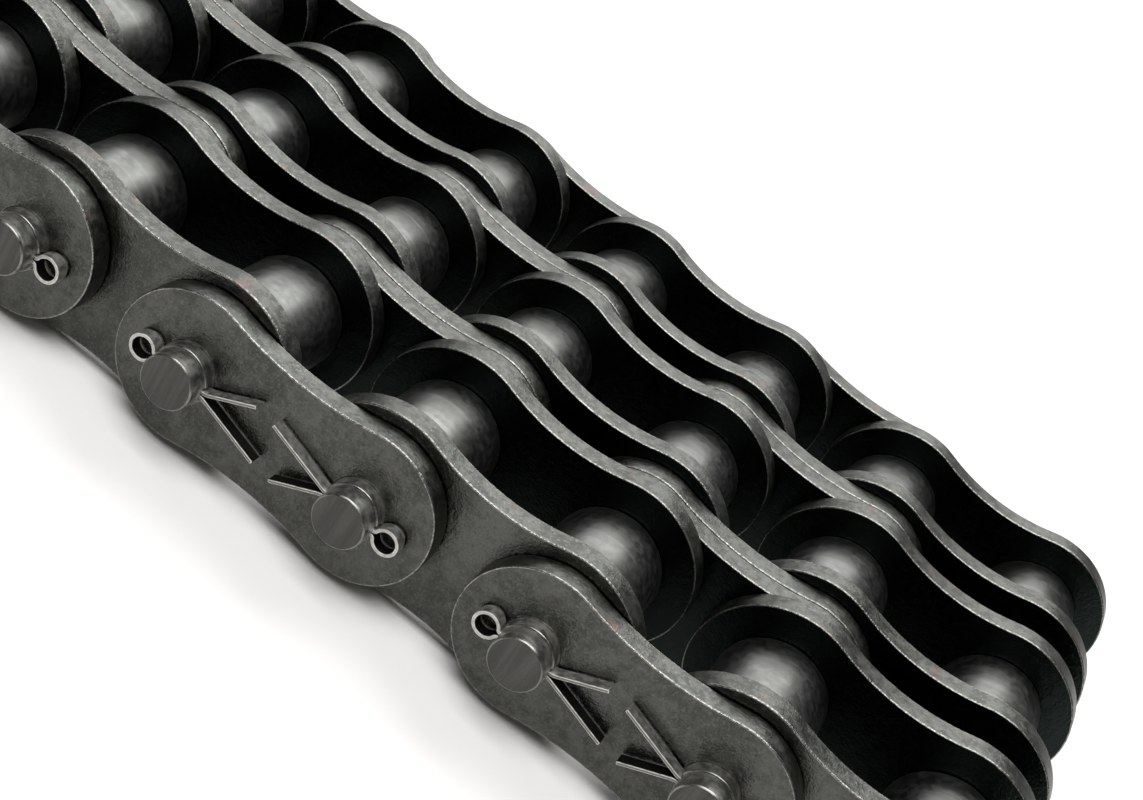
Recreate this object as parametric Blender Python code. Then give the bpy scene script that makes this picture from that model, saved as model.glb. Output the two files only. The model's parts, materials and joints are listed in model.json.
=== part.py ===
"""Three-strand cottered roller chain, 38.1 mm pitch, seven links long.

The chain lies straight along X with its pins along Y. Links are numbered from the +X end:
1, 3, 5 and 7 are roller links and 2, 4 and 6 are pin links. The strands are near, middle
and far along +Y, and the cotters are on the near side. Z = 0 is the table under the plates.
"""

from math import acos, atan2, cos, pi, radians, sin, sqrt, tan

import bmesh
import bpy
from mathutils import Vector

# Driving dimensions, in metres.
PITCH = 0.0381
LINK_COUNT = 7
STRANDS = ("near", "middle", "far")

PLATE_THICKNESS = 0.0048
INNER_PLATE_HEIGHT = 0.0347
INNER_PLATE_WAIST = 0.0288
PIN_PLATE_HEIGHT = 0.0300
PIN_PLATE_WAIST = 0.0254
INNER_WIDTH = 0.02522

ROLLER_DIAMETER = 0.02223
BUSH_DIAMETER = 0.0160
PIN_DIAMETER = 0.01111
PIN_CHAMFER = 0.0006

COTTER_END_LENGTH = 0.0066
COTTER_STANDOFF = 0.0002
COTTER_WIRE_WIDTH = 0.0025
COTTER_WIRE_DEPTH = 0.00085
COTTER_EYE_RADIUS = 0.00185
COTTER_NECK_RADIUS = 0.00025
COTTER_LONG_LEG = 0.0191
COTTER_LONG_SPREAD = radians(17)
COTTER_SHORT_LEG = 0.0151
COTTER_SHORT_SPREAD = radians(28)
COTTER_LEG_BEND = 0.0030

RIVET_HEAD_LIP = 0.00065
RIVET_HEAD_LENGTH = 0.0016
RIVET_END_INSET = 0.00095

# Clearances, in metres.
PLATE_GAP = 0.00034
PRESS_GAP = 0.00025
RUNNING_GAP = 0.00030
PIN_RUNNING_GAP = 0.00025
ROLLER_END_GAP = 0.00030
COTTER_HOLE_GAP = 0.00030
COTTER_LEG_GAP = 0.00030

# Facets.
ROUND_SIDES = 20
HOLE_SIDES = 14
END_ARC_STEPS = 12
WAIST_ARC_STEPS = 4
EYE_STEPS = 12
BEND_STEPS = 3
WIRE_STEPS = 4

# Places that follow from the dimensions.
STRAND_PITCH = INNER_WIDTH + 4 * PLATE_THICKNESS + 3 * PLATE_GAP
BUSH_LENGTH = INNER_WIDTH + 2 * PLATE_THICKNESS
AXIS_HEIGHT = INNER_PLATE_HEIGHT / 2
STACK_HALF = STRAND_PITCH * (len(STRANDS) - 1) / 2 + BUSH_LENGTH / 2 + PLATE_GAP + PLATE_THICKNESS
STACK_CENTRE_Y = (COTTER_END_LENGTH - RIVET_HEAD_LENGTH - PLATE_GAP) / 2
NEAR_FACE_Y = STACK_CENTRE_Y - STACK_HALF
FAR_FACE_Y = STACK_CENTRE_Y + STACK_HALF
COTTER_HOLE_DIAMETER = COTTER_WIRE_WIDTH + 2 * COTTER_HOLE_GAP
COTTER_HOLE_HEIGHT = COTTER_STANDOFF + COTTER_HOLE_DIAMETER / 2

FINISHES = {
    "blackened plate steel": ((0.075, 0.077, 0.074, 1.0), 0.46),
    "satin roller steel": ((0.16, 0.165, 0.16, 1.0), 0.34),
    "bush steel": ((0.12, 0.122, 0.12, 1.0), 0.36),
    "pin steel": ((0.13, 0.13, 0.127, 1.0), 0.38),
    "cotter wire steel": ((0.22, 0.215, 0.205, 1.0), 0.35),
}


def clear_scene():
    for item in list(bpy.data.objects):
        bpy.data.objects.remove(item, do_unlink=True)


def finish_material(finish):
    """The Principled material of one finish, made once."""
    material = bpy.data.materials.get(finish)
    if material:
        return material
    colour, roughness = FINISHES[finish]
    material = bpy.data.materials.new(finish)
    material.use_nodes = True
    shader = material.node_tree.nodes["Principled BSDF"]
    shader.inputs["Base Color"].default_value = colour
    shader.inputs["Roughness"].default_value = roughness
    shader.inputs["Metallic"].default_value = 1.0
    material.diffuse_color = colour
    return material


def pin_x(index):
    """X of a pin axis: index 0 is the open end at +X, LINK_COUNT the one at -X."""
    return (LINK_COUNT / 2 - index) * PITCH


def strand_y(strand):
    """Y of a strand's middle plane."""
    return STACK_CENTRE_Y + (STRANDS.index(strand) - (len(STRANDS) - 1) / 2) * STRAND_PITCH


def new_mesh(name, shape):
    """A mesh from a bmesh, its faces turned out and its round faces smooth."""
    bmesh.ops.recalc_face_normals(shape, faces=shape.faces)
    mesh = bpy.data.meshes.new(name)
    shape.to_mesh(mesh)
    shape.free()
    smooth_rounds(mesh)
    return mesh


def smooth_rounds(mesh):
    mesh.shade_smooth()
    mesh.set_sharp_from_angle(angle=radians(32))


def figure_eight(height, waist):
    """Outline of a link plate in X and Z about its middle: two end arcs and two waist arcs."""
    end_radius = height / 2
    half = PITCH / 2
    dip = waist / 2
    waist_radius = (half**2 + dip**2 - end_radius**2) / (2 * (end_radius - dip))
    waist_centre = dip + waist_radius
    end_sweep = pi - atan2(waist_centre, half)
    waist_sweep = atan2(half, waist_centre)
    points = []
    for side in (1, -1):
        for step in range(END_ARC_STEPS + 1):
            angle = end_sweep * (2 * step / END_ARC_STEPS - 1)
            points.append((side * (half + end_radius * cos(angle)), side * end_radius * sin(angle)))
        for step in range(1, WAIST_ARC_STEPS):
            angle = waist_sweep * (1 - 2 * step / WAIST_ARC_STEPS)
            across = waist_radius * sin(angle)
            rise = waist_centre - waist_radius * cos(angle)
            points.append((side * across, side * rise))
    return points


def prism(outline, start, length):
    """A solid with an X-Z outline, from Y = start to start + length."""
    shape = bmesh.new()
    corners = [shape.verts.new((x, start, z)) for x, z in outline]
    face = shape.faces.new(corners)
    moved = bmesh.ops.extrude_face_region(shape, geom=[face])["geom"]
    top = [item for item in moved if isinstance(item, bmesh.types.BMVert)]
    bmesh.ops.translate(shape, verts=top, vec=(0, length, 0))
    return shape


def turned(profile, x=0.0, sides=ROUND_SIDES):
    """A solid of revolution about Y at x, from (y, radius) pairs. A hollow one ends where it starts."""
    shape = bmesh.new()
    rings = []
    for y, radius in profile:
        angles = [2 * pi * (side + 0.5) / sides for side in range(sides)]
        rings.append([shape.verts.new((x + radius * cos(a), y, radius * sin(a))) for a in angles])
    hollow = profile[0] == profile[-1]
    if hollow:
        bmesh.ops.delete(shape, geom=rings[-1], context="VERTS")
        rings[-1] = rings[0]
    for ring, following in zip(rings, rings[1:]):
        for side in range(sides):
            after = (side + 1) % sides
            shape.faces.new((ring[side], ring[after], following[after], following[side]))
    if not hollow:
        shape.faces.new(rings[0])
        shape.faces.new(rings[-1])
    return shape


def rod(start, length, diameter, x=0.0, sides=ROUND_SIDES):
    """A plain round bar along Y."""
    return turned([(start, diameter / 2), (start + length, diameter / 2)], x, sides)


def tube(length, diameter, bore):
    """A round tube along Y, centred on the origin."""
    ends = (-length / 2, length / 2)
    outer = diameter / 2
    inner = bore / 2
    return turned([(ends[0], inner), (ends[0], outer), (ends[1], outer), (ends[1], inner), (ends[0], inner)])


def combine(name, base, steps):
    """Runs exact Booleans on a bmesh solid, (operation, other solid) in order, and returns the mesh."""
    body = bpy.data.objects.new(name, new_mesh(name, base))
    bpy.context.scene.collection.objects.link(body)
    tools = []
    for operation, other in steps:
        tool = bpy.data.objects.new(name + "_tool", new_mesh(name + "_tool", other))
        tool.hide_render = True
        tool.display_type = "WIRE"
        bpy.context.scene.collection.objects.link(tool)
        modifier = body.modifiers.new(operation.lower(), "BOOLEAN")
        modifier.operation = operation
        modifier.solver = "EXACT"
        modifier.object = tool
        tools.append(tool)
    bpy.context.view_layer.update()
    evaluated = body.evaluated_get(bpy.context.evaluated_depsgraph_get())
    mesh = bpy.data.meshes.new_from_object(evaluated)
    mesh.name = name
    smooth_rounds(mesh)
    for item in (body, *tools):
        bpy.data.objects.remove(item, do_unlink=True)
    return mesh


def split_halves(mesh):
    """Edges round the middle of a link, so that no face runs under the next link's side plate."""
    shape = bmesh.new()
    shape.from_mesh(mesh)
    everything = shape.verts[:] + shape.edges[:] + shape.faces[:]
    bmesh.ops.bisect_plane(shape, geom=everything, plane_co=(0, 0, 0), plane_no=(1, 0, 0))
    shape.to_mesh(mesh)
    shape.free()
    return mesh


def hole_pair(diameter, start, length):
    """Cutters for the two holes of a link, at both pin axes."""
    return [("DIFFERENCE", rod(start, length, diameter, x)) for x in (PITCH / 2, -PITCH / 2)]


def plate_mesh(name, height, waist, thickness, hole):
    """A link plate with its two holes, its front face at Y = 0."""
    past = PLATE_THICKNESS / 2
    blank = prism(figure_eight(height, waist), 0.0, thickness)
    return split_halves(combine(name, blank, hole_pair(hole, -past, thickness + 2 * past)))


def roller_link_mesh():
    """One strand's two inner plates with both bushes pressed in, centred on the strand."""
    outline = figure_eight(INNER_PLATE_HEIGHT, INNER_PLATE_WAIST)
    half = BUSH_LENGTH / 2
    middle = PLATE_THICKNESS / 2
    between = BUSH_LENGTH - 2 * middle
    steps = [("UNION", rod(middle - half, between, BUSH_DIAMETER, x)) for x in (PITCH / 2, -PITCH / 2)]
    steps.append(("UNION", prism(outline, half - PLATE_THICKNESS, PLATE_THICKNESS)))
    steps += hole_pair(PIN_DIAMETER + 2 * PIN_RUNNING_GAP, -BUSH_LENGTH, 2 * BUSH_LENGTH)
    return split_halves(combine("roller link", prism(outline, -half, PLATE_THICKNESS), steps))


def cotter_hole(x):
    """Cutter for the cotter's hole, along X through the near end of a pin at x."""
    reach = PIN_DIAMETER
    shape = rod(-reach, 2 * reach, COTTER_HOLE_DIAMETER, sides=HOLE_SIDES)
    for vertex in shape.verts:
        vertex.co = Vector((x + vertex.co.y, NEAR_FACE_Y - COTTER_HOLE_HEIGHT + vertex.co.x, vertex.co.z))
    return shape


def pin_profile(neck_end, head_start):
    """A pin from its chamfered cotter end to its rivet head, whose lip starts at head_start."""
    radius = PIN_DIAMETER / 2
    start = NEAR_FACE_Y - COTTER_END_LENGTH
    end = FAR_FACE_Y + PLATE_GAP + RIVET_HEAD_LENGTH
    head_radius = radius + RIVET_HEAD_LIP
    return [
        (start, radius - PIN_CHAMFER),
        (start + PIN_CHAMFER, radius),
        (neck_end, radius),
        (head_start, head_radius),
        (end - RIVET_HEAD_LENGTH / 2, head_radius),
        (end, radius - RIVET_END_INSET),
    ]


def pin_mesh():
    """A loose pin, its rivet head clear of the side plate."""
    under_head = FAR_FACE_Y + PLATE_GAP
    profile = pin_profile(under_head, under_head)
    return combine("pin", turned(profile), [("DIFFERENCE", cotter_hole(0.0))])


def pinned_plate_mesh():
    """The far plate of a pin link with its two pins pressed and riveted in."""
    outline = figure_eight(PIN_PLATE_HEIGHT, PIN_PLATE_WAIST)
    back = FAR_FACE_Y - PLATE_THICKNESS
    in_plate = FAR_FACE_Y - PLATE_THICKNESS / 2
    steps = []
    for x in (PITCH / 2, -PITCH / 2):
        steps.append(("UNION", turned(pin_profile(in_plate, in_plate), x)))
        steps.append(("DIFFERENCE", cotter_hole(x)))
    return combine("pinned plate", prism(outline, back, PLATE_THICKNESS), steps)


def cotter_side(length, spread):
    """The flat inner side of half a cotter in its own plane: half the eye, the neck, then one leg.

    It is (along, across, outward along, outward across): the pin axis is at 0, the eye at +along,
    and the leg ends at a distance of length from the pin axis.
    """
    half_gap = COTTER_LEG_GAP / 2
    turn = COTTER_NECK_RADIUS + COTTER_WIRE_DEPTH
    reach = COTTER_EYE_RADIUS + turn
    rise = half_gap + turn
    hole_end = PIN_DIAMETER / 2 - COTTER_HOLE_GAP
    eye_x = hole_end + sqrt(reach**2 - rise**2)
    lean = acos((eye_x - hole_end) / reach)
    half = []
    for step in range(EYE_STEPS // 2):
        angle = (pi - lean) * step / (EYE_STEPS // 2)
        out = (cos(angle), sin(angle))
        half.append((eye_x + COTTER_EYE_RADIUS * out[0], COTTER_EYE_RADIUS * out[1], *out))
    for step in range(BEND_STEPS + 1):
        angle = -lean - (pi / 2 - lean) * step / BEND_STEPS
        half.append((hole_end + turn * cos(angle), rise + turn * sin(angle), -cos(angle), -sin(angle)))
    for step in range(BEND_STEPS + 1):
        angle = -pi / 2 - spread * step / BEND_STEPS
        across = half_gap + COTTER_LEG_BEND * (1 + sin(angle))
        half.append((COTTER_LEG_BEND * cos(angle) - hole_end, across, -cos(angle), -sin(angle)))
    along, across, *out = half[-1]
    rest = length + along
    half.append((-length, across + rest * tan(spread), *out))
    return half


def cotter_mesh():
    """A spread split cotter, flattened half-round wire, in the X-Z plane with its eye at +X."""
    upper = cotter_side(COTTER_LONG_LEG, COTTER_LONG_SPREAD)
    lower = cotter_side(COTTER_SHORT_LEG, COTTER_SHORT_SPREAD)[1:]
    path = [(x, -z, nx, -nz) for x, z, nx, nz in reversed(lower)] + upper
    shape = bmesh.new()
    rings = []
    for x, z, out_x, out_z in path:
        ring = []
        for step in range(WIRE_STEPS + 1):
            angle = pi * step / WIRE_STEPS
            depth = COTTER_WIRE_DEPTH * sin(angle)
            across = COTTER_WIRE_WIDTH / 2 * cos(angle)
            ring.append(shape.verts.new((x + depth * out_x, across, z + depth * out_z)))
        rings.append(ring)
    for ring, following in zip(rings, rings[1:]):
        for side in range(WIRE_STEPS + 1):
            after = (side + 1) % (WIRE_STEPS + 1)
            shape.faces.new((ring[side], ring[after], following[after], following[side]))
    shape.faces.new(rings[0])
    shape.faces.new(rings[-1])
    return new_mesh("cotter", shape)


def joint_empty(name, x, y=STACK_CENTRE_Y):
    """An empty on the pin axis that a body turns about."""
    empty = bpy.data.objects.new(name, None)
    empty.empty_display_size = PIN_DIAMETER
    empty.location = (x, y, AXIS_HEIGHT)
    bpy.context.scene.collection.objects.link(empty)
    return empty


def place(name, mesh, finish, parent, x, y, turn=0.0):
    """One named piece, at a world place on the axis height, parented to its body's empty."""
    piece = bpy.data.objects.new(name, mesh)
    bpy.context.scene.collection.objects.link(piece)
    if not mesh.materials:
        mesh.materials.append(finish_material(finish))
    piece.parent = parent
    piece.location = Vector((x, y, AXIS_HEIGHT)) - parent.location
    piece.rotation_euler = (0.0, turn, 0.0)
    return piece


def build_roller_links(meshes):
    """Every roller link: per strand its plates, bushes and two free rollers."""
    plate = "blackened plate steel"
    for number in range(1, LINK_COUNT + 1, 2):
        middle_x = (pin_x(number - 1) + pin_x(number)) / 2
        first = number < (LINK_COUNT + 1) / 2
        hinge_x = pin_x(number) if first else pin_x(number - 1)
        for strand in STRANDS:
            stem = f"link{number}_{strand}"
            y = strand_y(strand)
            hinge = joint_empty(stem + "_hinge", hinge_x, y)
            if number == 1 and strand == "near":
                front = y - BUSH_LENGTH / 2
                back = y + INNER_WIDTH / 2
                place(stem + "_front_plate", meshes["inner plate"], plate, hinge, middle_x, front)
                place(stem + "_back_plate", meshes["inner plate"], plate, hinge, middle_x, back)
                for end, index in (("a", 0), ("b", 1)):
                    place(f"{stem}_bush_{end}", meshes["bush"], "bush steel", hinge, pin_x(index), y)
            else:
                place(stem + "_roller_link", meshes["roller link"], plate, hinge, middle_x, y)
            for end, index in (("a", number - 1), ("b", number)):
                place(f"{stem}_roller_{end}", meshes["roller"], "satin roller steel", hinge, pin_x(index), y)


def build_pin_links(meshes):
    """Every pin link: side plates, mid plates between the strands, pins and cotters."""
    plate = "blackened plate steel"
    for number in range(2, LINK_COUNT, 2):
        middle_x = (pin_x(number - 1) + pin_x(number)) / 2
        first = number < (LINK_COUNT + 1) / 2
        hinge = joint_empty(f"link{number}_hinge", pin_x(number) if first else pin_x(number - 1))
        stem = f"link{number}"
        place(stem + "_cotter_side_plate", meshes["pin plate"], plate, hinge, middle_x, NEAR_FACE_Y)
        if number == 2:
            far_y = FAR_FACE_Y - PLATE_THICKNESS
            place(stem + "_riveted_side_plate", meshes["pin plate"], plate, hinge, middle_x, far_y)
            for end, index in (("a", 1), ("b", 2)):
                place(f"{stem}_pin_{end}", meshes["pin"], "pin steel", hinge, pin_x(index), 0.0)
        else:
            place(stem + "_pinned_side_plate", meshes["pinned plate"], plate, hinge, middle_x, 0.0)
        for strand in STRANDS[:-1]:
            front = strand_y(strand) + BUSH_LENGTH / 2 + PLATE_GAP
            back = front + PLATE_THICKNESS + PLATE_GAP
            if number == 2 and strand == STRANDS[0]:
                place(f"{stem}_{strand}_mid_plate_front", meshes["pin plate"], plate, hinge, middle_x, front)
                place(f"{stem}_{strand}_mid_plate_back", meshes["pin plate"], plate, hinge, middle_x, back)
            else:
                place(f"{stem}_{strand}_mid_plates", meshes["mid plates"], plate, hinge, middle_x, front)
        cotter_y = NEAR_FACE_Y - COTTER_HOLE_HEIGHT
        for end, index, turn in (("a", number - 1, 0.0), ("b", number, pi)):
            name = f"{stem}_cotter_{end}"
            place(name, meshes["cotter"], "cotter wire steel", hinge, pin_x(index), cotter_y, turn)


def build():
    clear_scene()
    press_hole = PIN_DIAMETER + 2 * PRESS_GAP
    pair = 2 * PLATE_THICKNESS + PLATE_GAP
    roller_bore = BUSH_DIAMETER + 2 * RUNNING_GAP
    roller_length = INNER_WIDTH - 2 * ROLLER_END_GAP
    bush_bore = PIN_DIAMETER + 2 * PIN_RUNNING_GAP
    bush_hole = BUSH_DIAMETER + 2 * PRESS_GAP
    inner = (INNER_PLATE_HEIGHT, INNER_PLATE_WAIST)
    outer = (PIN_PLATE_HEIGHT, PIN_PLATE_WAIST)
    meshes = {
        "inner plate": plate_mesh("inner plate", *inner, PLATE_THICKNESS, bush_hole),
        "pin plate": plate_mesh("pin plate", *outer, PLATE_THICKNESS, press_hole),
        "mid plates": plate_mesh("mid plates", *outer, pair, press_hole),
        "roller link": roller_link_mesh(),
        "pinned plate": pinned_plate_mesh(),
        "bush": new_mesh("bush", tube(BUSH_LENGTH, BUSH_DIAMETER, bush_bore)),
        "roller": new_mesh("roller", tube(roller_length, ROLLER_DIAMETER, roller_bore)),
        "pin": pin_mesh(),
        "cotter": cotter_mesh(),
    }
    build_roller_links(meshes)
    build_pin_links(meshes)


build()
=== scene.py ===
"""Three-strand cottered roller chain: finished plates, bushes, rollers, pins and cotters.

Every piece is modelled once about the origin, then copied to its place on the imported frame.
The chain lies along X with its pins along Y, and its cotters are on the near (-Y) side.
"""

import json
import math

import bpy
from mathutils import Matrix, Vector


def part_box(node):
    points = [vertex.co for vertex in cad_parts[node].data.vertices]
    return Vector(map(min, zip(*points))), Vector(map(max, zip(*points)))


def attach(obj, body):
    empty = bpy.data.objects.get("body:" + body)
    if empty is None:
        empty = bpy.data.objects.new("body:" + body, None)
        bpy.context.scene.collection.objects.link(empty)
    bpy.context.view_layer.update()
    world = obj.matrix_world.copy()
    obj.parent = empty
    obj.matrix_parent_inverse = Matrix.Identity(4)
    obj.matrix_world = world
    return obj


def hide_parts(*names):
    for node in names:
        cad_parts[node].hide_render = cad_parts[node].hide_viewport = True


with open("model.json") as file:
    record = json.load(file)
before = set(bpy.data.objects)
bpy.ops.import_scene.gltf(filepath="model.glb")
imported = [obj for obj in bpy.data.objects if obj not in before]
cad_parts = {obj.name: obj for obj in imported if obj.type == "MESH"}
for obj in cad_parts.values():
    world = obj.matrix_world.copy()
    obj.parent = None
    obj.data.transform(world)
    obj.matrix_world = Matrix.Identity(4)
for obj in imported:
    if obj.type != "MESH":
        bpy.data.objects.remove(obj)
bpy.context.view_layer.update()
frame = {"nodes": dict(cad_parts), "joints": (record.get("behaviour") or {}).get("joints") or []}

bl_info = {
    "name": "Cottered Roller Chain",
    "version": (1, 0, 0),
    "blender": (4, 5, 0),
    "location": "3D View > Sidebar > Chain",
    "description": "Builds a finished three-strand roller chain round its packed frame",
    "category": "Add Mesh",
}

STRANDS = ("near", "middle", "far")
MM = 0.001
TINY = 0.001 * MM
FLAT = 0.97  # how squarely a face looks along the pins to count as a flat
BUSH_FIT = 0.01 * MM
PIN_FIT = 0.02 * MM


# Places and sizes that the frame gives.

JOINT = {joint["name"]: joint for joint in frame["joints"]}
AXIS_Z = JOINT["link2_swing"]["pos_m"][2]
STRAND_Y = {strand: JOINT[f"link1_{strand}_swing"]["pos_m"][1] for strand in STRANDS}
PIN_X = sorted({joint["pos_m"][0] for joint in frame["joints"]}, reverse=True)
PITCH = PIN_X[0] - PIN_X[1]
LINKS = len(PIN_X) - 1


def corners(node):
    """A node's corner points about the pin axis height."""
    return [(v.co.x, v.co.y, v.co.z - AXIS_Z) for v in frame["nodes"][node].data.vertices]


def reaches(node, axis_x, before_y=None):
    """Least and most distance of a node's corners from a pin axis, up to before_y if given."""
    chosen = [corner for corner in corners(node) if before_y is None or corner[1] < before_y]
    distances = [math.hypot(x - axis_x, z) for x, _, z in chosen]
    return min(distances), max(distances)


def side(node, edge):
    """Y of a node's near (0) or far (1) face."""
    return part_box(node)[edge].y


def waist(node):
    """Height of a plate at the middle of its link."""
    low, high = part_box(node)
    middle = (low.x + high.x) / 2
    at_middle = [z for x, _, z in corners(node) if abs(x - middle) < 0.1 * MM]
    return max(at_middle) - min(at_middle)


INNER_PLATE = "link1_near_front_plate"
PIN_PLATE = "link2_cotter_side_plate"
PLATE_THICKNESS = side(INNER_PLATE, 1) - side(INNER_PLATE, 0)
INNER_HEIGHT = 2 * (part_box(INNER_PLATE)[1].x - PIN_X[0])
PIN_PLATE_HEIGHT = 2 * (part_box(PIN_PLATE)[1].x - PIN_X[1])
ROLLER_BORE, ROLLER_RADIUS = reaches("link1_near_roller_a", PIN_X[0])
ROLLER_LENGTH = side("link1_near_roller_a", 1) - side("link1_near_roller_a", 0)
BUSH_BORE, BUSH_RADIUS = reaches("link1_near_bush_a", PIN_X[0])
BUSH_LENGTH = side("link1_near_bush_a", 1) - side("link1_near_bush_a", 0)
NEAR_FACE = side(PIN_PLATE, 0)
FAR_FACE = side("link2_riveted_side_plate", 1)
PIN_START = side("link2_pin_a", 0)
PIN_END = side("link2_pin_a", 1)
PIN_RADIUS = reaches("link2_pin_a", PIN_X[1], NEAR_FACE)[1]
HEAD_RADIUS = reaches("link2_pin_a", PIN_X[1])[1]
COTTER_Y = (side("link2_cotter_a", 0) + side("link2_cotter_a", 1)) / 2
COTTER_WIDTH = side("link2_cotter_a", 1) - side("link2_cotter_a", 0)


def size(name, description, default):
    return bpy.props.FloatProperty(
        name=name, description=description, default=default, unit="LENGTH", precision=5
    )


def power(name, description, watts):
    return bpy.props.FloatProperty(
        name=name, description=description, default=watts, min=0.0, max=500.0, unit="POWER"
    )


def colour(name, description, default):
    return bpy.props.FloatVectorProperty(
        name=name, description=description, default=default, size=3, subtype="COLOR",
        min=0.0, max=1.0,
    )


def spread(name, description, degrees):
    return bpy.props.FloatProperty(
        name=name, description=description, default=math.radians(degrees), subtype="ANGLE"
    )


class ChainPlateSizes(bpy.types.PropertyGroup):
    """Sizes of the link plates."""

    thickness: size("Thickness", "Thickness of every plate", PLATE_THICKNESS)
    inner_height: size("Inner height", "Height of a roller link's plate", INNER_HEIGHT)
    inner_waist: size("Inner waist", "Height of that plate at its waist", waist(INNER_PLATE))
    outer_height: size("Outer height", "Height of a pin link's plate", PIN_PLATE_HEIGHT)
    outer_waist: size("Outer waist", "Height of that plate at its waist", waist(PIN_PLATE))
    edge_round: size("Edge round", "Radius of the tumbled edges", 0.30 * MM)


class ChainTubeSizes(bpy.types.PropertyGroup):
    """Sizes of the rollers and the bushes."""

    roller_round: size("Roller round", "Radius of a roller's ends", 0.45 * MM)
    bush_round: size("Bush round", "Radius of a bush's ends", 0.35 * MM)
    facets: bpy.props.IntProperty(
        name="Facets", description="Sides of a round piece", default=96, min=12
    )


class ChainPinSizes(bpy.types.PropertyGroup):
    """Sizes of the pins."""

    tip_radius: size("Tip radius", "Radius of the turned-down cotter end", 5.20 * MM)
    tip_length: size("Tip length", "Length of the turned-down cotter end", 4.0 * MM)
    tip_chamfer: size("Tip chamfer", "Chamfer of the cotter end", 0.3 * MM)
    shoulder_round: size("Shoulder round", "Chamfer of the shoulder behind the tip", 0.18 * MM)
    hole_radius: size("Hole radius", "Radius of the cross hole", COTTER_WIDTH / 2 + 0.25 * MM)
    head_dimple: size("Head dimple", "Depth of the dimple in the rivet head", 0.35 * MM)


class ChainCotterSizes(bpy.types.PropertyGroup):
    """Sizes of the split cotters."""

    width: size("Width", "Width of the flattened wire", COTTER_WIDTH)
    depth: size("Depth", "Depth of the flattened wire", 0.64 * MM)
    edge_round: size("Edge round", "Radius of the wire's edges", 0.13 * MM)
    eye_radius: size("Eye radius", "Inner radius of the eye", 2.04 * MM)
    neck_radius: size("Neck radius", "Outer radius where the eye meets the legs", 0.30 * MM)
    leg_gap: size("Leg gap", "Gap between the legs in the pin", 0.3 * MM)
    leg_bend: size("Leg bend", "Radius of the bend that spreads a leg", 3.0 * MM)
    clearance: size("Clearance", "How far inside the pin the bends start", 0.3 * MM)
    long_leg: size("Long leg", "Reach of the long leg from the pin axis", 19.1 * MM)
    long_spread: spread("Long spread", "How far the long leg is bent out", 17)
    short_leg: size("Short leg", "Reach of the short leg from the pin axis", 15.1 * MM)
    short_spread: spread("Short spread", "How far the short leg is bent out", 28)


class ChainFinishes(bpy.types.PropertyGroup):
    """Colours of the steels."""

    plate_dark: colour("Plate dark", "Plate scale, dark cloud", (0.050, 0.051, 0.047))
    plate_light: colour("Plate light", "Plate scale, light cloud", (0.085, 0.086, 0.079))
    # painted shade: near-black colour painted on the plate flats inside the chain, where shade
    # falls between the plates
    plate_inside_shade: colour("Plate inside", "Oily flats inside the chain", (0.018, 0.023, 0.022))
    rim: colour("Sheared rim", "Sheared rim of the plates", (0.060, 0.062, 0.056))
    # partly worn steel, partly painted highlight: the bright colour the rounded edges are painted
    # with
    burnished_and_sheen: colour("Burnished", "Edges that are rubbed bright", (0.27, 0.268, 0.25))
    rust: colour("Rust", "Traces of rust along the edges", (0.15, 0.10, 0.085))
    roller: colour("Roller", "Oiled roller steel", (0.128, 0.131, 0.124))
    bush: colour("Bush", "Bush steel", (0.085, 0.087, 0.083))
    pin: colour("Pin", "Ground pin steel", (0.066, 0.066, 0.062))
    cotter: colour("Cotter", "Outside of the cotter wire", (0.44, 0.435, 0.41))
    # painted shade: near-black colour painted on the wire's faces inside the eye and between the
    # legs
    cotter_inside_shade: colour("Cotter inside", "Inside of the cotter wire", (0.035, 0.035, 0.033))


class ChainStage(bpy.types.PropertyGroup):
    """Floor, light and camera."""

    floor_colour: colour("Floor", "Colour of the floor", (0.875, 0.862, 0.852))
    sky: bpy.props.FloatProperty(
        name="Sky", description="Strength of the even light all round", default=0.20,
        min=0.0, max=5.0,
    )
    back_light: power("Back light", "Power of the large light behind the chain", 11.0)
    high_light: power("High light", "Power of the large light high behind the chain", 9.0)
    front_light: power("Front light", "Power of the large light above the camera", 20.5)
    lens: bpy.props.FloatProperty(
        name="Lens", description="Focal length of the camera", default=57.12, min=10.0, max=300.0,
        unit="CAMERA",
    )
    camera_place: bpy.props.FloatVectorProperty(
        name="Camera place", description="Where the camera stands", subtype="TRANSLATION",
        default=(0.0702, -0.3114, 0.2034),
    )
    camera_turn: bpy.props.FloatVectorProperty(
        name="Camera turn", description="How the camera is turned", subtype="EULER",
        default=(math.radians(54.96), math.radians(-29.38), math.radians(26.19)),
    )


# Small helpers, each a step a person does by hand.


def select_none():
    if bpy.context.mode != "OBJECT":
        bpy.ops.object.mode_set(mode="OBJECT")
    bpy.ops.object.select_all(action="DESELECT")


def take(piece):
    """Selects one object alone and makes it the active one."""
    select_none()
    piece.select_set(True)
    bpy.context.view_layer.objects.active = piece


def start(name):
    """Names the primitive that was just added, and gives its mesh its turn and place."""
    piece = bpy.context.active_object
    piece.name = name
    piece.data.name = name
    bpy.ops.object.transform_apply(location=True, rotation=True, scale=True)
    return piece


def select_where(piece, test, kind="VERT"):
    """Leaves selected, in edit mode, only the corners or faces that pass the test."""
    bpy.ops.object.mode_set(mode="EDIT")
    bpy.ops.mesh.select_mode(type=kind)
    bpy.ops.mesh.select_all(action="DESELECT")
    bpy.ops.object.mode_set(mode="OBJECT")
    parts = piece.data.vertices if kind == "VERT" else piece.data.polygons
    for part in parts:
        part.select = bool(test(part))
    bpy.ops.object.mode_set(mode="EDIT")


def close_up(merge=TINY):
    """Merges doubles and turns all faces outwards, in edit mode, then leaves it."""
    bpy.ops.mesh.select_all(action="SELECT")
    bpy.ops.mesh.remove_doubles(threshold=merge)
    bpy.ops.mesh.normals_make_consistent(inside=False)
    bpy.ops.object.mode_set(mode="OBJECT")


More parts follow.
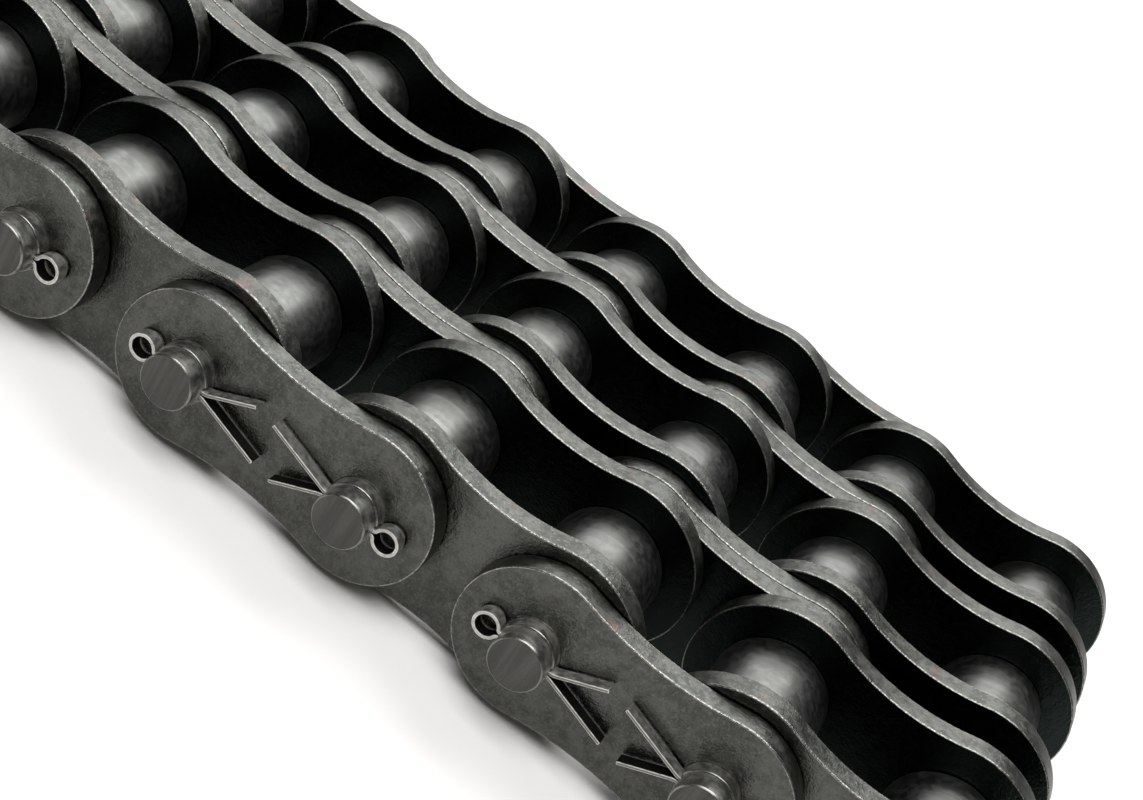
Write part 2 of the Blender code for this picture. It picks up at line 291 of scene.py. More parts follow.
def apply(piece, kind, **settings):
    """Adds a modifier with these settings and applies it."""
    take(piece)
    modifier = piece.modifiers.new(kind.title(), kind)
    for key, value in settings.items():
        setattr(modifier, key, value)
    bpy.ops.object.modifier_apply(modifier=modifier.name)


def cut(piece, tool):
    """Takes the tool's shape out of the piece and throws the tool away."""
    apply(piece, "BOOLEAN", operation="DIFFERENCE", solver="EXACT", object=tool)
    bpy.data.objects.remove(tool, do_unlink=True)


def finish_surface(piece, width, segments=3):
    """Rounds the edges and shades the piece smooth with flats kept flat."""
    bevel_from = math.radians(35)
    smooth_up_to = math.radians(38)
    apply(
        piece, "BEVEL", width=width, segments=segments, limit_method="ANGLE",
        angle_limit=bevel_from, use_clamp_overlap=True,
    )
    take(piece)
    bpy.ops.object.shade_smooth_by_angle(angle=smooth_up_to)
    apply(piece, "WEIGHTED_NORMAL", keep_sharp=True, weight=50)


def store(piece, name, value_of):
    """Stores a number on every face of the piece, worked out from the face."""
    piece.data.attributes.new(name, "FLOAT", "FACE")
    values = piece.data.attributes[name].data
    for face in piece.data.polygons:
        values[face.index].value = value_of(face)


def mark_edges_and_rims(piece):
    """Stores 1 on the rounded edges as edge, and 1 on the faces that run along the pins as rim."""
    side_on = 0.08
    store(piece, "edge", lambda face: float(side_on < abs(face.normal.y) < FLAT))
    store(piece, "rim", lambda face: float(abs(face.normal.y) <= side_on))


def put_copy(master, name, x, y, turn=0.0):
    """A copy of a master piece with its own mesh, set at its place on the pin axis height."""
    take(master)
    bpy.ops.object.duplicate(linked=False)
    piece = bpy.context.active_object
    piece.name = name
    piece.data.name = name
    piece.location = (x, y, AXIS_Z)
    piece.rotation_euler = (0.0, turn, 0.0)
    bpy.ops.object.transform_apply(location=True, rotation=True, scale=True)
    return piece


def mark_shaded_inside(piece, open_way=0):
    """Stores 1 as inside on a plate's flats, which the plate steel paints in painted shade, but 0
    on the one that looks open_way along Y.
    """

    def is_shaded_flat(face):
        return abs(face.normal.y) > FLAT and face.normal.y * open_way <= 0

    store(piece, "inside", lambda face: float(is_shaded_flat(face)))


def node_for(own, joined):
    """A piece's own node, or the joined node where the frame has no node of its own for it."""
    return own if own in frame["nodes"] else joined


def hand_over(piece, node, body):
    """Lets the piece stand for its CAD node and move with its body."""
    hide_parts(node)
    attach(piece, body)


def remove(piece):
    bpy.data.objects.remove(piece, do_unlink=True)


# Materials.


def link(tree, source, target):
    tree.links.new(source, target)


def noise(tree, where, scale, detail=3.0, rough=0.55):
    node = tree.nodes.new("ShaderNodeTexNoise")
    node.inputs["Scale"].default_value = scale
    node.inputs["Detail"].default_value = detail
    node.inputs["Roughness"].default_value = rough
    link(tree, where, node.inputs["Vector"])
    return node.outputs[0]


def remap(tree, value, low, high, to_low=0.0, to_high=1.0):
    node = tree.nodes.new("ShaderNodeMapRange")
    node.interpolation_type = "SMOOTHSTEP"
    node.inputs["From Min"].default_value = low
    node.inputs["From Max"].default_value = high
    node.inputs["To Min"].default_value = to_low
    node.inputs["To Max"].default_value = to_high
    link(tree, value, node.inputs["Value"])
    return node.outputs["Result"]


def math_node(tree, operation, first, second):
    node = tree.nodes.new("ShaderNodeMath")
    node.operation = operation
    for socket, value in zip(node.inputs, (first, second)):
        if isinstance(value, (int, float)):
            socket.default_value = value
        else:
            link(tree, value, socket)
    return node.outputs[0]


def mix(tree, factor, first, second):
    node = tree.nodes.new("ShaderNodeMix")
    node.data_type = "RGBA"
    link(tree, factor, node.inputs[0])
    for socket, value in ((node.inputs[6], first), (node.inputs[7], second)):
        if isinstance(value, bpy.types.NodeSocket):
            link(tree, value, socket)
        else:
            socket.default_value = (*value, 1.0)
    return node.outputs[2]


def attribute(tree, name):
    node = tree.nodes.new("ShaderNodeAttribute")
    node.attribute_name = name
    return node.outputs["Fac"]


def bump(tree, height, strength, distance, under=None):
    node = tree.nodes.new("ShaderNodeBump")
    node.inputs["Strength"].default_value = strength
    node.inputs["Distance"].default_value = distance
    link(tree, height, node.inputs["Height"])
    if under:
        link(tree, under, node.inputs["Normal"])
    return node.outputs["Normal"]


def scaled(values, factor):
    return tuple(min(1.0, value * factor) for value in values)


class Steel:
    """A steel material in the making: its node tree, shader and object coordinates."""

    def __init__(self, name):
        self.material = bpy.data.materials.new(name)
        self.material.use_nodes = True
        self.tree = self.material.node_tree
        self.shader = self.tree.nodes["Principled BSDF"]
        self.shader.inputs["Metallic"].default_value = 1.0
        self.where = self.tree.nodes.new("ShaderNodeTexCoord").outputs["Object"]

    def noise(self, scale, detail=3.0, rough=0.55):
        return noise(self.tree, self.where, scale, detail, rough)

    def stretched(self, stretch, scale):
        """A pattern drawn out along the axes that have a small stretch value."""
        node = self.tree.nodes.new("ShaderNodeMapping")
        node.inputs["Scale"].default_value = stretch
        link(self.tree, self.where, node.inputs["Vector"])
        return noise(self.tree, node.outputs["Vector"], scale, 3.0, 0.6)

    def rings(self, scale):
        """Fine rings round the pins' way."""
        return self.stretched((0.02, 1.0, 0.02), scale)

    def finish(self, colour_out, roughness_out, normal_out):
        link(self.tree, colour_out, self.shader.inputs["Base Color"])
        link(self.tree, roughness_out, self.shader.inputs["Roughness"])
        link(self.tree, normal_out, self.shader.inputs["Normal"])
        return self.material


def plate_steel(finishes):
    """Tumbled black plate: cloudy scale, painted shade on the flats inside the chain, sheared
    rims, edges painted bright as worn steel and painted highlight, and rust.
    """
    steel = Steel("plate steel")
    tree = steel.tree
    cloud = steel.noise(75, 2.0)
    mottle = steel.noise(520, 4.0, 0.6)
    grain = steel.noise(2600, 3.0, 0.6)
    speck = steel.noise(1900, 3.0, 0.6)
    rim = attribute(tree, "rim")
    edge = attribute(tree, "edge")
    inside = attribute(tree, "inside")
    tone = remap(tree, math_node(tree, "ADD", cloud, mottle), 0.78, 1.22)
    face = mix(tree, tone, finishes.plate_dark, finishes.plate_light)
    specks = remap(tree, speck, 0.50, 0.66, 0.0, 0.5)
    face = mix(tree, specks, face, scaled(finishes.plate_light, 1.35))
    pits = math_node(tree, "MULTIPLY", remap(tree, grain, 0.56, 0.70), 0.5)
    face = mix(tree, pits, face, scaled(finishes.plate_dark, 0.45))
    drag = remap(tree, mottle, 0.38, 0.62)
    sheared = mix(tree, drag, scaled(finishes.rim, 0.8), scaled(finishes.rim, 1.6))
    glints = remap(tree, speck, 0.54, 0.68, 0.0, 0.28)
    sheared = mix(tree, glints, sheared, finishes.burnished_and_sheen)
    # painted shade: the flats inside the chain are painted near black
    face = mix(tree, inside, face, finishes.plate_inside_shade)
    base = mix(tree, rim, face, sheared)
    # worn steel and painted highlight: the rounded edges are painted bright
    rubbed_and_sheen = math_node(tree, "MULTIPLY", edge, remap(tree, speck, 0.36, 0.60, 0.25, 1.0))
    base = mix(tree, rubbed_and_sheen, base, finishes.burnished_and_sheen)
    worn = math_node(tree, "MAXIMUM", edge, rim)
    rust = math_node(tree, "MULTIPLY", remap(tree, steel.noise(190), 0.60, 0.74), worn)
    base = mix(tree, math_node(tree, "MULTIPLY", rust, 0.55), base, finishes.rust)
    rough = remap(tree, mottle, 0.3, 0.7, 0.19, 0.29)
    rough = math_node(tree, "ADD", rough, math_node(tree, "MULTIPLY", rim, 0.16))
    normal = bump(tree, cloud, 0.15, 1.0 * MM)
    normal = bump(tree, mottle, 0.45, 0.25 * MM, normal)
    normal = bump(tree, speck, 0.60, 0.10 * MM, normal)
    normal = bump(tree, grain, 0.80, 0.08 * MM, normal)
    return steel.finish(base, rough, normal)


def turned_steel(name, base_colour, finishes, roughness, ring_scale, wear_and_sheen):
    """Turned or ground steel: fine rings round the axis, soft clouds, and edges painted bright as
    worn steel and painted highlight.
    """
    steel = Steel(name)
    tree = steel.tree
    cloud = steel.noise(110, 2.0)
    mottle = steel.noise(700)
    rings = steel.rings(ring_scale)
    edge = attribute(tree, "edge")
    clouded = remap(tree, cloud, 0.3, 0.7)
    base = mix(tree, clouded, scaled(base_colour, 0.8), scaled(base_colour, 1.2))
    base = mix(tree, remap(tree, rings, 0.45, 0.75, 0.0, 0.35), base, scaled(base_colour, 1.9))
    # worn steel and painted highlight: the rounded edges are painted bright
    rubbed_and_sheen = math_node(tree, "MULTIPLY", edge, remap(tree, mottle, 0.3, 0.6, 0.35 * wear_and_sheen, wear_and_sheen))
    base = mix(tree, rubbed_and_sheen, base, finishes.burnished_and_sheen)
    rough = remap(tree, mottle, 0.3, 0.7, roughness - 0.05, roughness + 0.07)
    normal = bump(tree, rings, 0.45, 0.08 * MM)
    normal = bump(tree, mottle, 0.12, 0.08 * MM, normal)
    return steel.finish(base, rough, normal)


def pin_steel(finishes):
    """Pins: dark streaky end faces, and sides painted lighter with patches of painted highlight,
    and traces of rust.
    """
    steel = Steel("pin steel")
    tree = steel.tree
    mottle = steel.noise(600)
    highlight_patches = steel.noise(380, 3.0, 0.6)
    rings = steel.rings(1300)
    streaks = steel.stretched((1.0, 1.0, 0.06), 700)
    edge = attribute(tree, "edge")
    rim = attribute(tree, "rim")
    streaked = remap(tree, streaks, 0.4, 0.7)
    face = mix(tree, streaked, scaled(finishes.pin, 0.85), scaled(finishes.pin, 1.15))
    # painted highlight: the pin's sides are painted three times lighter than its end faces, with
    # light patches
    painted_highlight = remap(tree, highlight_patches, 0.36, 0.62)
    body = mix(tree, painted_highlight, scaled(finishes.pin, 3.0), scaled(finishes.burnished_and_sheen, 2.1))
    body = mix(tree, remap(tree, rings, 0.45, 0.7, 0.0, 0.45), body, scaled(finishes.pin, 1.2))
    rust = remap(tree, steel.noise(300), 0.56, 0.72, 0.0, 0.35)
    body = mix(tree, rust, body, finishes.rust)
    base = mix(tree, rim, face, body)
    # worn steel and painted highlight: the rounded edges are painted bright
    rubbed_and_sheen = math_node(tree, "MULTIPLY", edge, remap(tree, mottle, 0.3, 0.6, 0.3, 0.8))
    base = mix(tree, rubbed_and_sheen, base, finishes.burnished_and_sheen)
    rough = remap(tree, mottle, 0.3, 0.7, 0.24, 0.34)
    rough = math_node(tree, "ADD", rough, math_node(tree, "MULTIPLY", rim, 0.18))
    normal = bump(tree, rings, 0.50, 0.10 * MM)
    normal = bump(tree, mottle, 0.15, 0.08 * MM, normal)
    return steel.finish(base, rough, normal)


def cotter_steel(finishes):
    """Flattened wire: satin outside with edges painted bright as painted highlight, and painted
    shade in the eye and between the legs.
    """
    steel = Steel("cotter wire")
    tree = steel.tree
    mottle = steel.noise(900)
    fine = steel.noise(3200, 2.0)
    edge = attribute(tree, "edge")
    rim = attribute(tree, "rim")
    inner = attribute(tree, "inner")
    mottled = remap(tree, mottle, 0.3, 0.7)
    satin = mix(tree, mottled, scaled(finishes.cotter, 0.8), scaled(finishes.cotter, 1.3))
    base = mix(tree, rim, scaled(finishes.cotter, 0.4), satin)
    # painted shade: the faces inside the eye and between the legs are painted near black
    base = mix(tree, inner, base, finishes.cotter_inside_shade)
    # painted highlight: the wire's rounded edges, and the eye's front face, are painted near white
    bright = math_node(tree, "MULTIPLY", edge, remap(tree, mottle, 0.3, 0.6, 0.6, 1.0))
    base = mix(tree, bright, base, scaled(finishes.burnished_and_sheen, 2.9))
    rough = remap(tree, mottle, 0.3, 0.7, 0.42, 0.54)
    rough = math_node(tree, "ADD", rough, math_node(tree, "MULTIPLY", edge, 0.15))
    normal = bump(tree, fine, 0.3, 0.04 * MM)
    return steel.finish(base, rough, normal)


def give(piece, material):
    piece.data.materials.clear()
    piece.data.materials.append(material)


# Plates.


def outline(name, height, waist_height):
    """A closed plate outline in the X-Z plane: a corner spun round each end and each waist."""
    end_radius = height / 2
    half = PITCH / 2
    dip = waist_height / 2
    waist_radius = (half**2 + dip**2 - end_radius**2) / (2 * (end_radius - dip))
    waist_centre = dip + waist_radius
    lean = math.atan2(half, waist_centre)
    start_x = half - end_radius * math.sin(lean)
    start_z = -end_radius * math.cos(lean)
    select_none()
    bpy.ops.mesh.primitive_plane_add(size=MM, location=(start_x, 0.0, start_z))
    piece = start(name)
    bpy.ops.object.mode_set(mode="EDIT")
    bpy.ops.mesh.select_mode(type="VERT")
    bpy.ops.mesh.select_all(action="SELECT")
    bpy.ops.mesh.merge(type="CENTER")
    end_steps = 56
    waist_steps = 14
    for way in (1, -1):
        bpy.ops.mesh.spin(
            steps=end_steps, angle=math.pi + 2 * lean, center=(way * half, 0, 0), axis=(0, 1, 0)
        )
        bpy.ops.mesh.spin(
            steps=waist_steps, angle=-2 * lean, center=(0, 0, way * waist_centre), axis=(0, 1, 0)
        )
    bpy.ops.mesh.select_all(action="SELECT")
    bpy.ops.mesh.remove_doubles(threshold=10 * TINY)
    bpy.ops.mesh.edge_face_add()
    return piece


def round_bar(name, x, radius, length, facets):
    """A cylinder along the pins' way."""
    select_none()
    bpy.ops.mesh.primitive_cylinder_add(
        vertices=facets, radius=radius, depth=length, location=(x, 0, 0),
        rotation=(math.pi / 2, 0, 0),
    )
    return start(name)


def plate_master(sizes, name, height, waist_height, hole_radius):
    """A plate with two holes, centred on its thickness."""
    hole_facets = 72
    piece = outline(name, height, waist_height)
    bpy.ops.mesh.extrude_region_move(TRANSFORM_OT_translate={"value": (0, sizes.thickness, 0)})
    bpy.ops.mesh.select_all(action="SELECT")
    bpy.ops.transform.translate(value=(0, -sizes.thickness / 2, 0))
    close_up()
    for x in (PITCH / 2, -PITCH / 2):
        cut(piece, round_bar("hole tool", x, hole_radius, 2 * sizes.thickness, hole_facets))
    finish_surface(piece, sizes.edge_round)
    mark_edges_and_rims(piece)
    return piece


def middle_x(number):
    """X of the middle of a link."""
    return (PIN_X[number - 1] + PIN_X[number]) / 2


def body_of(number, strand):
    """The body of a roller link: its strands swing one by one in the two end links only."""
    return f"link{number}_{strand}" if number in (1, LINKS) else f"link{number}"


class CHAIN_OT_inner_plates(bpy.types.Operator):
    """Builds the two plates of every roller link"""

    bl_idname = "chain.inner_plates"
    bl_label = "Inner Plates"

    def execute(self, context):
        sizes = context.scene.chain_plates
        steel = plate_steel(context.scene.chain_finishes)
        hole = BUSH_RADIUS + BUSH_FIT
        master = plate_master(sizes, "inner plate", sizes.inner_height, sizes.inner_waist, hole)
        give(master, steel)
        offset = (BUSH_LENGTH - sizes.thickness) / 2
        for number in range(1, LINKS + 1, 2):
            for strand in STRANDS:
                for place, way in (("front", -1), ("back", 1)):
                    name = f"inner_plate_{number}_{strand}_{place}"
                    y = STRAND_Y[strand] + way * offset
                    piece = put_copy(master, name, middle_x(number), y)
                    outermost = strand == (STRANDS[0] if way < 0 else STRANDS[-1])
                    mark_shaded_inside(piece, way if outermost else 0)
                    stem = f"link{number}_{strand}_"
                    node = node_for(f"{stem}{place}_plate", stem + "roller_link")
                    hand_over(piece, node, body_of(number, strand))
        remove(master)
        return {"FINISHED"}


class CHAIN_OT_pin_link_plates(bpy.types.Operator):
    """Builds the side plates of every pin link and the plates between its strands"""

    bl_idname = "chain.pin_link_plates"
    bl_label = "Pin Link Plates"

    def execute(self, context):
        sizes = context.scene.chain_plates
        steel = bpy.data.materials["plate steel"]
        hole = PIN_RADIUS + PIN_FIT
        plain = plate_master(sizes, "pin link plate", sizes.outer_height, sizes.outer_waist, hole)
        give(plain, steel)
        half = sizes.thickness / 2
        for number in range(2, LINKS, 2):
            x = middle_x(number)
            stem = f"link{number}_"
            piece = put_copy(plain, f"cotter_side_plate_{number}", x, NEAR_FACE + half)
            mark_shaded_inside(piece, -1)
            hand_over(piece, stem + "cotter_side_plate", f"link{number}")
            piece = put_copy(plain, f"riveted_side_plate_{number}", x, FAR_FACE - half)
            mark_shaded_inside(piece, 1)
            node = node_for(stem + "riveted_side_plate", stem + "pinned_side_plate")
            hand_over(piece, node, f"link{number}")
            for strand in STRANDS[:-1]:
                self.mid_pair(plain, number, strand, x, half)
        remove(plain)
        return {"FINISHED"}

    def mid_pair(self, plain, number, strand, x, half):
        """The two plates side by side between one strand and the next."""
        stem = f"link{number}_{strand}_mid_plate"
        for place in ("front", "back"):
            node = node_for(f"{stem}_{place}", stem + "s")
            y = side(node, 0) + half if place == "front" else side(node, 1) - half
            piece = put_copy(plain, f"mid_plate_{number}_{strand}_{place}", x, y)
            mark_shaded_inside(piece)
            hand_over(piece, node, f"link{number}")


# Rollers and bushes.


def tube_places():
    """Link number, strand, end and X of every bush and its roller."""
    for number in range(1, LINKS + 1, 2):
        for strand in STRANDS:
            yield number, strand, "a", PIN_X[number - 1]
            yield number, strand, "b", PIN_X[number]


def tube_master(name, radius, bore, length, edge_round, facets):
    """A round tube along Y: both ends of a cylinder are inset and bridged through."""
    piece = round_bar(name, 0, radius, length, facets)
    select_where(piece, lambda face: abs(face.normal.y) > FLAT, "FACE")
    bpy.ops.mesh.inset(thickness=radius - bore)
    bpy.ops.mesh.bridge_edge_loops()
    close_up()
    finish_surface(piece, edge_round)
    mark_edges_and_rims(piece)
    return piece


class CHAIN_OT_bushes(bpy.types.Operator):
    """Builds the pressed bushes of every roller link"""

    bl_idname = "chain.bushes"
    bl_label = "Bushes"

    def execute(self, context):
        sizes = context.scene.chain_tubes
        finishes = context.scene.chain_finishes
        master = tube_master(
            "bush", BUSH_RADIUS, BUSH_BORE, BUSH_LENGTH, sizes.bush_round, sizes.facets
        )
        give(master, turned_steel("bush steel", finishes.bush, finishes, 0.36, 900, 0.8))
        for number, strand, end, x in tube_places():
            piece = put_copy(master, f"bush_{number}_{strand}_{end}", x, STRAND_Y[strand])
            stem = f"link{number}_{strand}_"
            node = node_for(f"{stem}bush_{end}", stem + "roller_link")
            hand_over(piece, node, body_of(number, strand))
        remove(master)
        return {"FINISHED"}


class CHAIN_OT_rollers(bpy.types.Operator):
    """Builds the free rollers on the bushes"""

    bl_idname = "chain.rollers"
    bl_label = "Rollers"

    def execute(self, context):
        sizes = context.scene.chain_tubes
        finishes = context.scene.chain_finishes
        master = tube_master(
            "roller", ROLLER_RADIUS, ROLLER_BORE, ROLLER_LENGTH, sizes.roller_round, sizes.facets
        )
        give(master, turned_steel("roller steel", finishes.roller, finishes, 0.38, 700, 0.9))
        for number, strand, end, x in tube_places():
            piece = put_copy(master, f"roller_{number}_{strand}_{end}", x, STRAND_Y[strand])
            node = f"link{number}_{strand}_roller_{end}"
            hand_over(piece, node, node)
        remove(master)
        return {"FINISHED"}


# Pins.


def pin_places():
    """Link number, end and X of every pin and its cotter."""
    for number in range(2, LINKS, 2):
        yield number, "a", PIN_X[number - 1]
        yield number, "b", PIN_X[number]


def pin_profile(sizes):
    """(y, radius) steps of a pin from its cotter end to its rivet head."""
    tip_end = PIN_START + sizes.tip_length
    under_head = FAR_FACE + PIN_FIT
    head_chamfer = 0.15 * MM
    head_round = 0.35 * MM
    head_draft = 0.1 * MM
    return [
        (PIN_START + sizes.tip_chamfer, sizes.tip_radius),
        (tip_end, sizes.tip_radius),
        (tip_end, PIN_RADIUS - sizes.shoulder_round),
        (tip_end + sizes.shoulder_round, PIN_RADIUS),
        (under_head, PIN_RADIUS),
        (under_head, HEAD_RADIUS - head_chamfer),
        (under_head + head_chamfer, HEAD_RADIUS),
        (PIN_END - 2 * head_round, HEAD_RADIUS - head_draft),
        (PIN_END - 0.8 * head_round, HEAD_RADIUS - head_round),
        (PIN_END, HEAD_RADIUS - 3 * head_round),
        (PIN_END - head_draft, 0.55 * PIN_RADIUS),
        (PIN_END - sizes.head_dimple, 0.25 * PIN_RADIUS),
    ]


def pin_master(sizes):
    """A pin along Y: a disc extruded and resized step by step, with its cross hole cut."""
    facets = 72
    hole_facets = 48
    pin_round = 0.1 * MM
    radius = sizes.tip_radius - sizes.tip_chamfer
    select_none()
    bpy.ops.mesh.primitive_circle_add(
        vertices=facets, radius=radius, fill_type="NGON", location=(0, PIN_START, 0),
        rotation=(math.pi / 2, 0, 0),
    )
    piece = start("pin")
    bpy.ops.object.mode_set(mode="EDIT")
    bpy.ops.mesh.select_mode(type="FACE")
    bpy.ops.mesh.select_all(action="SELECT")
    y = PIN_START
    for next_y, next_radius in pin_profile(sizes):
        bpy.ops.mesh.extrude_region_move(TRANSFORM_OT_translate={"value": (0, next_y - y, 0)})
        growth = next_radius / radius
        bpy.ops.transform.resize(value=(growth, 1, growth), center_override=(0, next_y, 0))
        y, radius = next_y, next_radius
    close_up(0.1 * TINY)
    select_none()
    bpy.ops.mesh.primitive_cylinder_add(
        vertices=hole_facets, radius=sizes.hole_radius, depth=4 * PIN_RADIUS,
        location=(0, COTTER_Y, 0), rotation=(0, math.pi / 2, 0),
    )
    cut(piece, start("cotter hole tool"))
    finish_surface(piece, pin_round, 2)
    mark_edges_and_rims(piece)
    return piece


class CHAIN_OT_pins(bpy.types.Operator):
    """Builds the riveted pins of every pin link"""

    bl_idname = "chain.pins"
    bl_label = "Pins"

    def execute(self, context):
        master = pin_master(context.scene.chain_pins)
        give(master, pin_steel(context.scene.chain_finishes))
        for number, end, x in pin_places():
            piece = put_copy(master, f"pin_{number}_{end}", x, 0.0)
            node = node_for(f"link{number}_pin_{end}", f"link{number}_pinned_side_plate")
            hand_over(piece, node, f"link{number}")
        remove(master)
        return {"FINISHED"}


# Cotters.


def eye_place(sizes):
    """How far out the bends into the pin start, their middle's height, and the eye's middle."""
    bend_x = PIN_RADIUS - sizes.clearance
    turn = sizes.neck_radius + sizes.depth
    rise = sizes.leg_gap / 2 + turn
    eye_x = bend_x + math.sqrt((sizes.eye_radius + turn) ** 2 - rise**2)
    return bend_x, rise, eye_x


def wire_end(sizes, x):
    """The flat section of the wire in the X-Y plane, its inner side at x."""
    middle = (x + sizes.depth / 2, 0, 0)
    select_none()
    bpy.ops.mesh.primitive_plane_add(size=1, location=middle)
    piece = start("cotter")
    bpy.ops.object.mode_set(mode="EDIT")
    bpy.ops.mesh.select_all(action="SELECT")
    bpy.ops.transform.resize(value=(sizes.depth, sizes.width, 1), center_override=middle)
    bpy.ops.object.mode_set(mode="OBJECT")
    return piece


def run_leg(sizes, way, length, spread_angle):
    """Draws the selected section round half the eye, in at the neck and out along one leg."""
    eye_steps = 24
    bend_steps = 8
    axis = (0, 1, 0)
    bend_x, rise, eye_x = eye_place(sizes)
    reach = sizes.eye_radius + sizes.neck_radius + sizes.depth
    lean = math.acos((eye_x - bend_x) / reach)
    bpy.ops.mesh.spin(
        steps=eye_steps, angle=way * (math.pi - lean), center=(eye_x, 0, 0), axis=axis
    )
    bpy.ops.mesh.spin(
        steps=bend_steps, angle=-way * (math.pi / 2 - lean), center=(bend_x, 0, way * rise),
        axis=axis,
    )
    bpy.ops.mesh.extrude_region_move(TRANSFORM_OT_translate={"value": (-2 * bend_x, 0, 0)})
    bend_z = way * (sizes.leg_gap / 2 + sizes.leg_bend)
    bpy.ops.mesh.spin(
        steps=bend_steps, angle=-way * spread_angle, center=(-bend_x, 0, bend_z), axis=axis
    )
    run = length - bend_x - sizes.leg_bend * math.sin(spread_angle)
    leg = (-run, 0, way * run * math.tan(spread_angle))
    bpy.ops.mesh.extrude_region_move(TRANSFORM_OT_translate={"value": leg})


def cotter_master(sizes):
    """A spread cotter of flattened wire in the X-Z plane, its eye at +X and its long leg up."""
    bend_x, _, eye_x = eye_place(sizes)
    far_x = eye_x + sizes.eye_radius
    piece = wire_end(sizes, far_x)
    legs = ((1, sizes.long_leg, sizes.long_spread), (-1, sizes.short_leg, sizes.short_spread))
    for way, length, spread_angle in legs:
        select_where(piece, lambda corner: corner.co.x > far_x - TINY and abs(corner.co.z) < TINY)
        run_leg(sizes, way, length, spread_angle)
        bpy.ops.object.mode_set(mode="OBJECT")
    select_where(
        piece, lambda face: abs(face.normal.z) > FLAT and abs(face.center.z) < TINY, "FACE"
    )
    bpy.ops.mesh.delete(type="ONLY_FACE")
    close_up()
    finish_surface(piece, sizes.edge_round, 2)
    mark_edges_and_rims(piece)
    mark_shaded_inner_side(piece, eye_x, bend_x)
    return piece


def mark_shaded_inner_side(piece, eye_x, bend_x):
    """Stores 1 as inner inside the eye and between the legs, where the wire takes painted shade,
    and sets the painted highlight on the eye's front face to match.
    """
    # how bright the eye's front face is painted, as painted highlight
    eye_painted_highlight = 0.6

    def is_shaded_inner(face):
        x, _, z = face.center
        if x > bend_x:
            return face.normal.x * (x - eye_x) + face.normal.z * z < 0
        return face.normal.z * z < 0

    store(piece, "inner", lambda face: float(is_shaded_inner(face)))
    edge = piece.data.attributes["edge"].data
    for face in piece.data.polygons:
        if is_shaded_inner(face) and face.normal.y > 0:
            edge[face.index].value = 0.0
        # painted highlight: the eye's front face is painted bright, not only its edges
        if face.center.x > bend_x and face.normal.y < -FLAT:
            edge[face.index].value = eye_painted_highlight


class CHAIN_OT_cotters(bpy.types.Operator):
    """Builds the spread split cotters in the pins"""

    bl_idname = "chain.cotters"
    bl_label = "Cotters"

    def execute(self, context):
        master = cotter_master(context.scene.chain_cotters)
        give(master, cotter_steel(context.scene.chain_finishes))
        for number, end, x in pin_places():
            turn = 0.0 if end == "a" else math.pi
            piece = put_copy(master, f"cotter_{number}_{end}", x, COTTER_Y, turn)
            hand_over(piece, f"link{number}_cotter_{end}", f"link{number}")
        remove(master)
        return {"FINISHED"}


# Stage.


# name, place, and width and depth of each soft light
LIGHTS = (
    ("back_light", (-0.25, 0.95, 0.75), (1.1, 0.8)),
    ("high_light", (0.25, 0.75, 1.45), (1.0, 0.6)),
    ("front_light", (-0.10, -0.60, 1.30), (1.2, 0.9)),
)


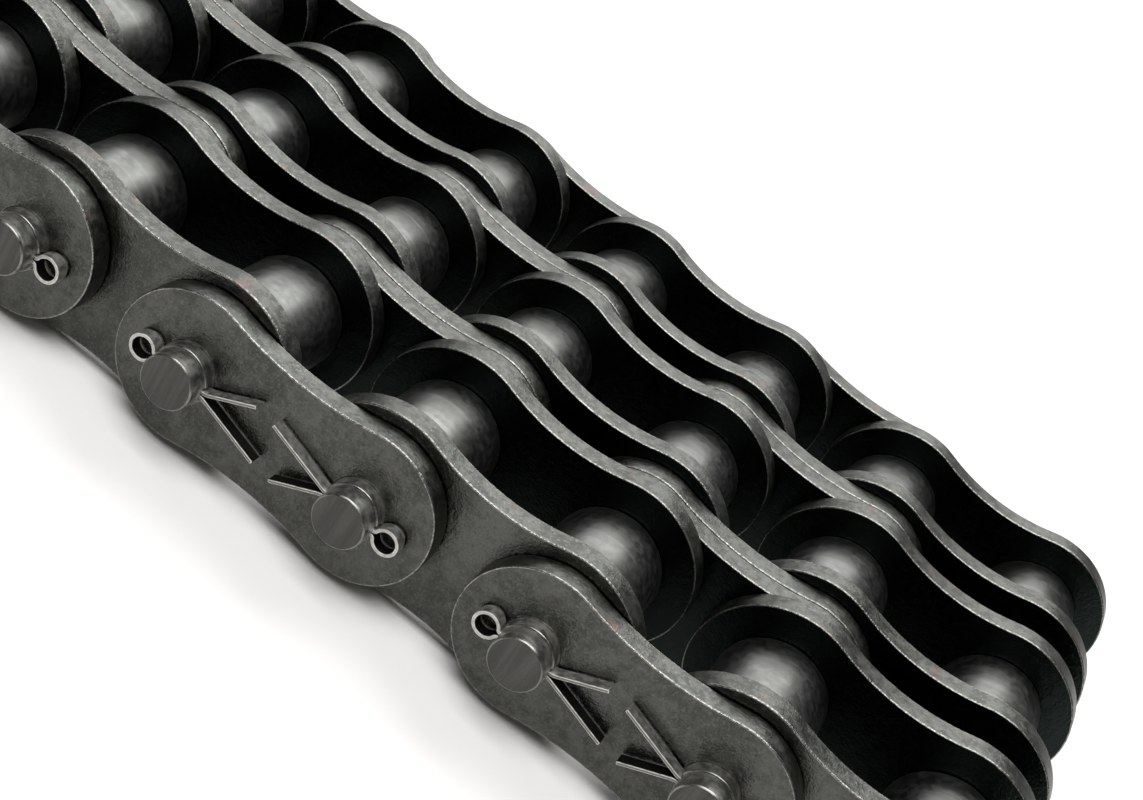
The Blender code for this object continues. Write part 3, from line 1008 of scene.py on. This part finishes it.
class CHAIN_OT_stage(bpy.types.Operator):
    """Sets the floor, the soft lights and the camera"""

    bl_idname = "chain.stage"
    bl_label = "Stage"

    def execute(self, context):
        settings = context.scene.chain_stage
        self.floor(settings)
        self.sky(context, settings)
        for name, place, extent in LIGHTS:
            self.soft_light(name, place, extent, getattr(settings, name))
        self.camera(context, settings)
        context.scene.view_settings.view_transform = "Standard"
        return {"FINISHED"}

    def floor(self, settings):
        select_none()
        bpy.ops.mesh.primitive_plane_add(size=8.0, location=(0, 0, 0))
        piece = start("floor")
        material = bpy.data.materials.new("floor paint")
        material.use_nodes = True
        tree = material.node_tree
        shader = tree.nodes["Principled BSDF"]
        shader.inputs["Roughness"].default_value = 0.8
        where = tree.nodes.new("ShaderNodeTexCoord").outputs["Object"]
        tone = remap(tree, noise(tree, where, 3.0), 0.3, 0.7)
        paint = mix(tree, tone, settings.floor_colour, scaled(settings.floor_colour, 1.02))
        link(tree, paint, shader.inputs["Base Color"])
        give(piece, material)

    def sky(self, context, settings):
        world = bpy.data.worlds.new("studio")
        world.use_nodes = True
        background = world.node_tree.nodes["Background"]
        background.inputs["Color"].default_value = (1.0, 1.0, 1.0, 1.0)
        background.inputs["Strength"].default_value = settings.sky
        context.scene.world = world

    def soft_light(self, name, place, extent, watts):
        """A large flat light that shines on the middle of the chain."""
        turn = (-Vector(place)).to_track_quat("-Z", "Y").to_euler()
        select_none()
        bpy.ops.object.light_add(type="AREA", location=place, rotation=turn)
        light = bpy.context.active_object
        light.name = name
        light.data.shape = "RECTANGLE"
        light.data.size, light.data.size_y = extent
        light.data.energy = watts

    def camera(self, context, settings):
        select_none()
        bpy.ops.object.camera_add(location=settings.camera_place, rotation=settings.camera_turn)
        camera = bpy.context.active_object
        camera.name = "camera"
        camera.data.sensor_width = 36.0
        camera.data.lens = settings.lens
        camera.data.clip_start = 0.01
        context.scene.camera = camera


class CHAIN_PT_panel(bpy.types.Panel):
    """Lists the steps that build the chain"""

    bl_idname = "CHAIN_PT_panel"
    bl_label = "Roller Chain"
    bl_space_type = "VIEW_3D"
    bl_region_type = "UI"
    bl_category = "Chain"

    def draw(self, context):
        layout = self.layout
        for operator in OPERATORS:
            layout.operator(operator.bl_idname)
        for group in GROUPS:
            box = layout.box()
            box.label(text=group.capitalize())
            settings = getattr(context.scene, f"chain_{group}")
            for name in settings.__annotations__:
                box.prop(settings, name)


GROUPS = {
    "plates": ChainPlateSizes,
    "tubes": ChainTubeSizes,
    "pins": ChainPinSizes,
    "cotters": ChainCotterSizes,
    "finishes": ChainFinishes,
    "stage": ChainStage,
}
OPERATORS = (
    CHAIN_OT_inner_plates,
    CHAIN_OT_pin_link_plates,
    CHAIN_OT_bushes,
    CHAIN_OT_rollers,
    CHAIN_OT_pins,
    CHAIN_OT_cotters,
    CHAIN_OT_stage,
)
CLASSES = (*GROUPS.values(), *OPERATORS, CHAIN_PT_panel)


def register():
    for item in CLASSES:
        bpy.utils.register_class(item)
    for group, kind in GROUPS.items():
        setattr(bpy.types.Scene, f"chain_{group}", bpy.props.PointerProperty(type=kind))


def unregister():
    for group in GROUPS:
        delattr(bpy.types.Scene, f"chain_{group}")
    for item in reversed(CLASSES):
        bpy.utils.unregister_class(item)


def main():
    register()
    bpy.ops.chain.inner_plates()
    bpy.ops.chain.pin_link_plates()
    bpy.ops.chain.bushes()
    bpy.ops.chain.rollers()
    bpy.ops.chain.pins()
    bpy.ops.chain.cotters()
    bpy.ops.chain.stage()


if __name__ == "__main__":
    main()
